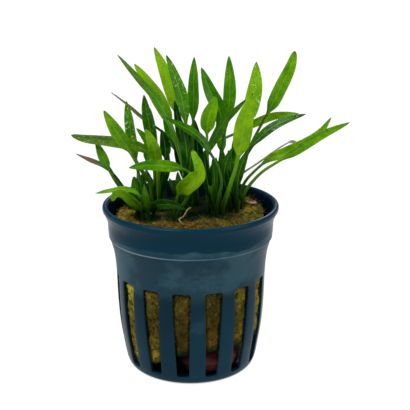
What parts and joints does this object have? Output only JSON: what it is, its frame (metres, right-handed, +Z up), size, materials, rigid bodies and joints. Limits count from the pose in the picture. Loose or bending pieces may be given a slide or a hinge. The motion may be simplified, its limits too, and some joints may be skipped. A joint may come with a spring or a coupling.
{
  "type": "potted cryptocoryne parva",
  "caption": "Dwarf green aquarium plant with lance-shaped stalked leaves, rooted in a plug of mineral wool in a small slotted round net pot.",
  "frame": {"origin": "middle of the underside of the pot's base, on the surface that the pot stands on", "axes": "+Z up through the plant, -Y towards the front as pictured, +X to the right"},
  "size_m": [0.0856, 0.056, 0.102],
  "materials": {
    "pot_plastic": "satin moulded dark petrol-blue plastic",
    "wool": "damp yellow-brown mineral fibre",
    "clay": "matt dark red clay",
    "crown": "smooth fleshy rhizome",
    "leaf": "wet glossy leaf skin with a pale midrib",
    "dead_leaf": "dry grey withered leaf",
    "root": "pale dry root",
    "flake": "dry brown scrap of leaf"
  },
  "bodies": {
    "root": {"clay_lump": "clay", "crown_back_mid": "crown", "crown_back_right": "crown", "crown_front_left": "crown", "crown_front_mid": "crown", "crown_left": "crown", "crown_mid_left": "crown", "crown_right": "crown", "crown_right_mid": "crown", "dead_leaf": "dead_leaf", "dry_flake": "flake", "leaf_back_mid_1": "leaf", "leaf_back_mid_2": "leaf", "leaf_back_mid_3": "leaf", "leaf_back_mid_4": "leaf", "leaf_back_mid_5": "leaf", "leaf_back_mid_6": "leaf", "leaf_back_mid_7": "leaf", "leaf_back_right_1": "leaf", "leaf_back_right_2": "leaf", "leaf_back_right_3": "leaf", "leaf_back_right_4": "leaf", "leaf_back_right_5": "leaf", "leaf_front_left_1": "leaf", "leaf_front_left_2": "leaf", "leaf_front_left_3": "leaf", "leaf_front_left_4": "leaf", "leaf_front_left_5": "leaf", "leaf_front_mid_1": "leaf", "leaf_front_mid_2": "leaf", "leaf_front_mid_3": "leaf", "leaf_front_mid_4": "leaf", "leaf_front_mid_5": "leaf", "leaf_left_1": "leaf", "leaf_left_2": "leaf", "leaf_left_3": "leaf", "leaf_left_4": "leaf", "leaf_left_5": "leaf", "leaf_mid_left_1": "leaf", "leaf_mid_left_2": "leaf", "leaf_mid_left_3": "leaf", "leaf_mid_left_4": "leaf", "leaf_mid_left_5": "leaf", "leaf_mid_left_6": "leaf", "leaf_mid_left_7": "leaf", "leaf_right_1": "leaf", "leaf_right_2": "leaf", "leaf_right_4": "leaf", "leaf_right_5": "leaf", "leaf_right_6": "leaf", "leaf_right_mid_1": "leaf", "leaf_right_mid_2": "leaf", "leaf_right_mid_3": "leaf", "leaf_right_mid_4": "leaf", "leaf_right_mid_5": "leaf", "leaf_right_mid_6": "leaf", "loose_root": "root", "net_pot": "pot_plastic", "rockwool_plug": "wool"}
  },
  "joints": []
}
